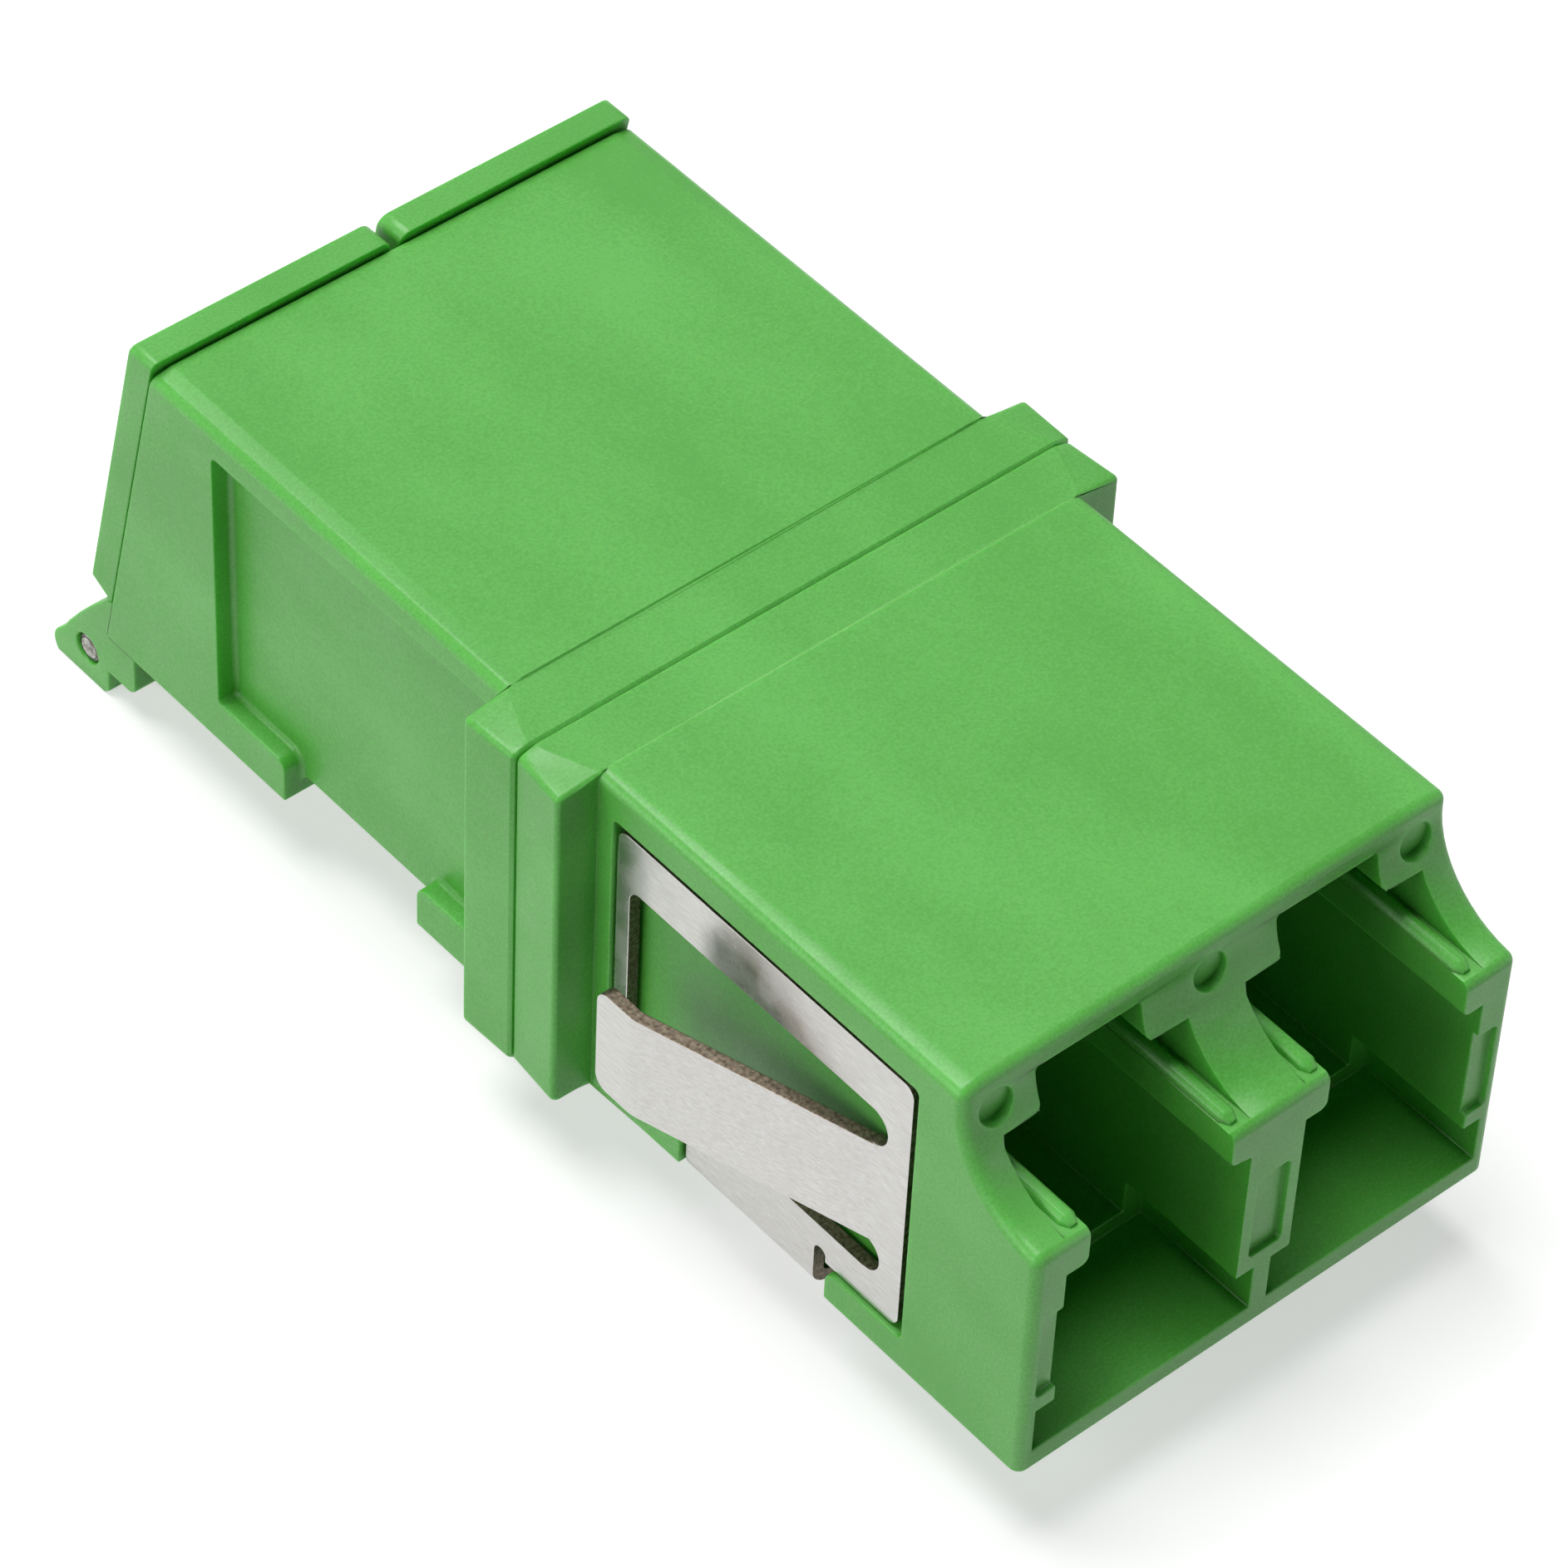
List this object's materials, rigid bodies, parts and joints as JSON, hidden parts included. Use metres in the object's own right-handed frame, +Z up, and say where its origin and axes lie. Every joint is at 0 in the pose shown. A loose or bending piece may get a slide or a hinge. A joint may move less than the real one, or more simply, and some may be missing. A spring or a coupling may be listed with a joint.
{
  "type": "fibre optic coupler",
  "caption": "Duplex fibre optic adapter: green moulded body with mid flange, folded steel panel clip, open front ports and sprung shutters behind the rear ports.",
  "frame": {"origin": "midway between the two fibre axes, in the parting plane of the flange where facing ferrules meet", "axes": "+Z up, +Y from the open front ports towards the shuttered rear ports, +X to the right when looking into the front ports"},
  "size_m": [0.0156, 0.0316, 0.0113],
  "materials": {
    "green_moulding": "fine matte moulded",
    "stainless_sheet": "satin, brighter on the flat strips",
    "white_ceramic": "polished",
    "steel_pin": "ground",
    "spring_wire": "drawn wire"
  },
  "bodies": {
    "housing": {"front_housing": "green_moulding", "rear_housing": "green_moulding", "panel_clip": "stainless_sheet", "hinge_pin": "steel_pin", "alignment_sleeve_left": "white_ceramic", "alignment_sleeve_right": "white_ceramic", "shutter_spring_left": "spring_wire", "shutter_spring_right": "spring_wire"},
    "left_shutter": {"shutter_left": "green_moulding"},
    "right_shutter": {"shutter_right": "green_moulding"}
  },
  "joints": [
    {"name": "left_shutter_hinge", "type": "hinge", "parent": "housing", "child": "left_shutter", "pos_m": [-0.0028, 0.01584, -0.00423], "axis": [-1, 0, 0], "range_deg": [0, 100], "stiffness_Nm_per_rad": 0.0005, "springref_deg": -34.38, "deforming": ["shutter_spring_left"]},
    {"name": "right_shutter_hinge", "type": "hinge", "parent": "housing", "child": "right_shutter", "pos_m": [0.0028, 0.01584, -0.00423], "axis": [-1, 0, 0], "range_deg": [0, 100], "stiffness_Nm_per_rad": 0.0005, "springref_deg": -34.38, "deforming": ["shutter_spring_right"]}
  ]
}
